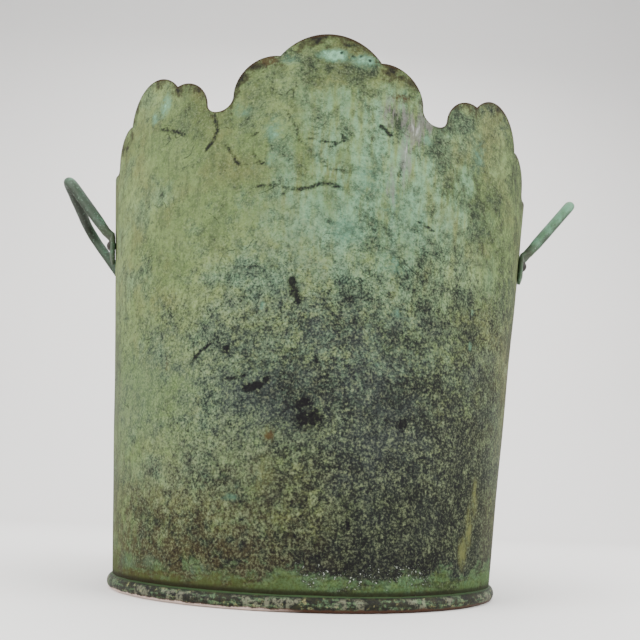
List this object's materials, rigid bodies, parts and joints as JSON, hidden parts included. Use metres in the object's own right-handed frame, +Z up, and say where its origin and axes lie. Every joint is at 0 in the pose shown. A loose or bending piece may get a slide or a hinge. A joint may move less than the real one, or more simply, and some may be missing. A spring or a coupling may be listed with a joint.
{
  "type": "copper bucket",
  "caption": "Flared oval bucket of sheet copper with a scalloped rim, a rolled wired foot, a let-in bottom and riveted end handles.",
  "frame": {"origin": "centre of the oval foot on the surface that the bucket stands on", "axes": "+X along the oval's length towards the right handle, +Z up, the front crown faces -Y"},
  "size_m": [0.2846, 0.1934, 0.2302],
  "materials": {
    "green_copper": "sheet copper under an old matte green verdigris, speckled dark",
    "dark_copper": "rolled copper edge, dark green-brown patina rubbed to copper underneath",
    "brown_copper": "sheet copper oxidised matte brown",
    "handle_copper": "bent copper rod with pale turquoise verdigris",
    "rivet_copper": "hammered copper rivets, brown",
    "iron_wire": "plain drawn iron wire, dull",
    "solder": "soft solder run, dull grey"
  },
  "bodies": {
    "root": {"front_wall": "green_copper", "back_wall": "green_copper", "bottom_pan": "brown_copper", "pan_solder": "solder", "foot_bead": "dark_copper", "foot_wire": "iron_wire", "left_handle": "handle_copper", "right_handle": "handle_copper", "left_handle_rivets": "rivet_copper", "right_handle_rivets": "rivet_copper", "left_rivet_washers": "rivet_copper", "right_rivet_washers": "rivet_copper", "left_seam_rivets": "rivet_copper", "right_seam_rivets": "rivet_copper"}
  },
  "joints": []
}
